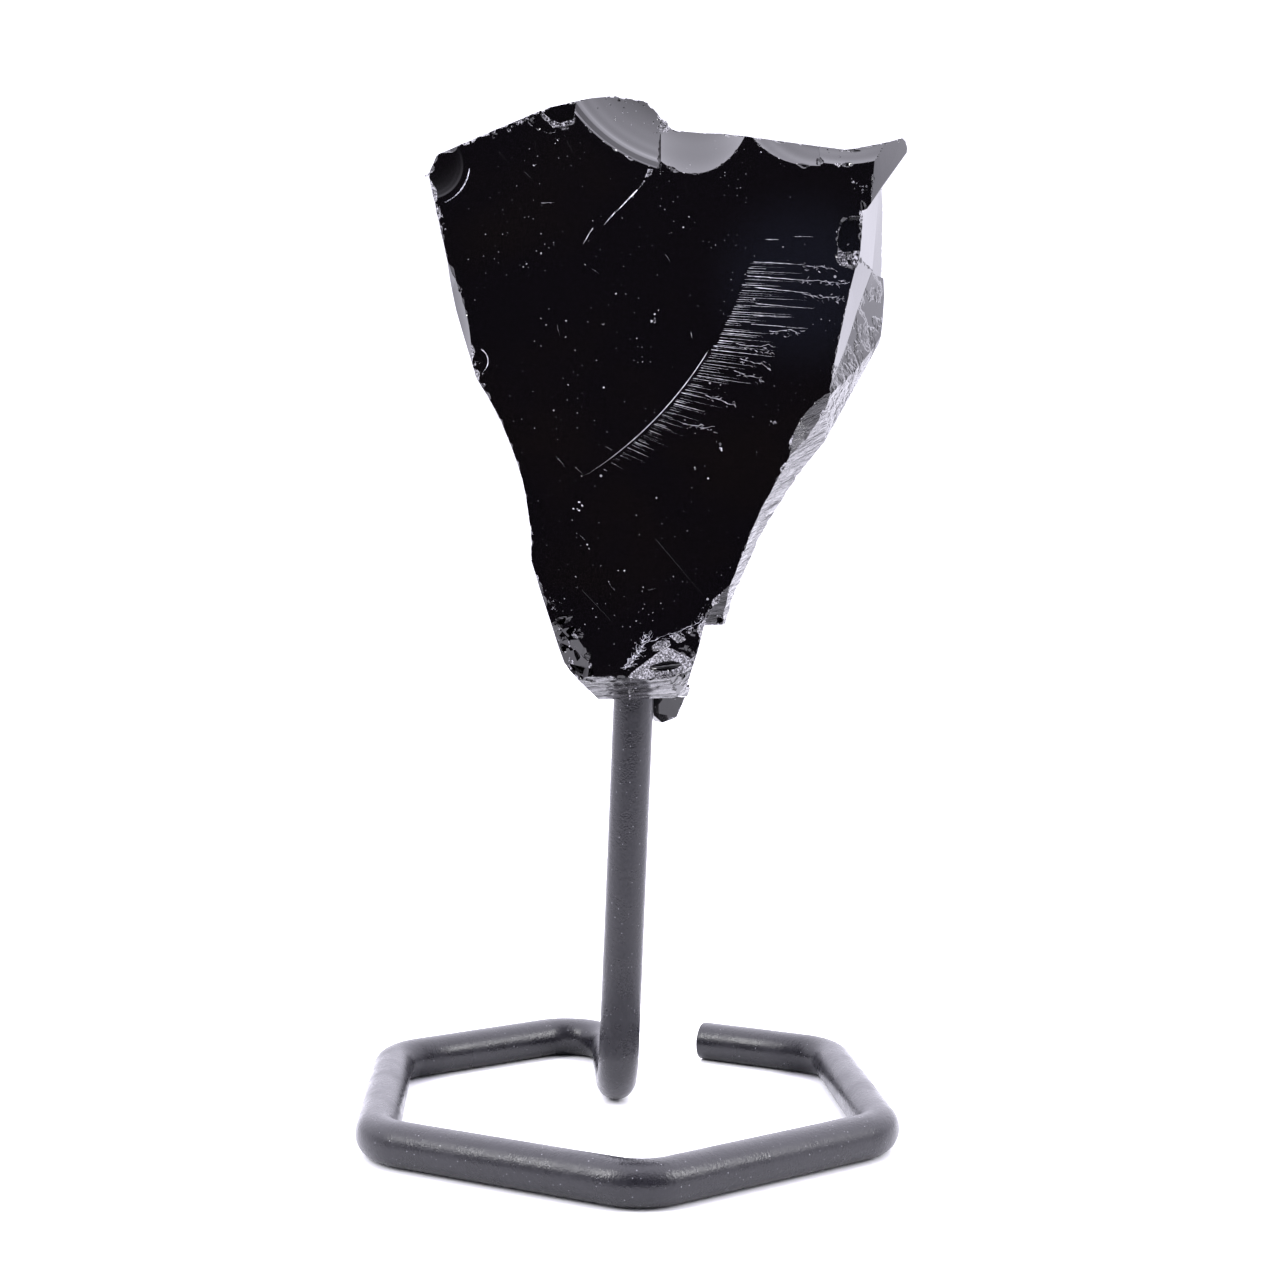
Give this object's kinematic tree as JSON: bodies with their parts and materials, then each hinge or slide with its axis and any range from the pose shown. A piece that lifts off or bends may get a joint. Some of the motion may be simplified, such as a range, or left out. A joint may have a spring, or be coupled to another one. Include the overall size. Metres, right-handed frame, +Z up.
{
  "type": "obsidian chunk on a rod stand",
  "caption": "Broken chunk of glossy black volcanic glass, pinned upright on a bent black rod stand with an open hexagonal base.",
  "frame": {"origin": "on the floor, under the middle of the whole object's box", "axes": "+Z up; the flat broken front of the stone faces -Y; the gap in the base is at the back, +Y"},
  "size_m": [0.066, 0.0658, 0.124],
  "materials": {
    "obsidian": "opaque black natural glass, glossy conchoidal fracture with crushed grey edges",
    "black_rod": "satin black powder coat with a fine grain"
  },
  "bodies": {
    "root": {"obsidian_chunk": "obsidian", "stand_rod": "black_rod"}
  },
  "joints": []
}
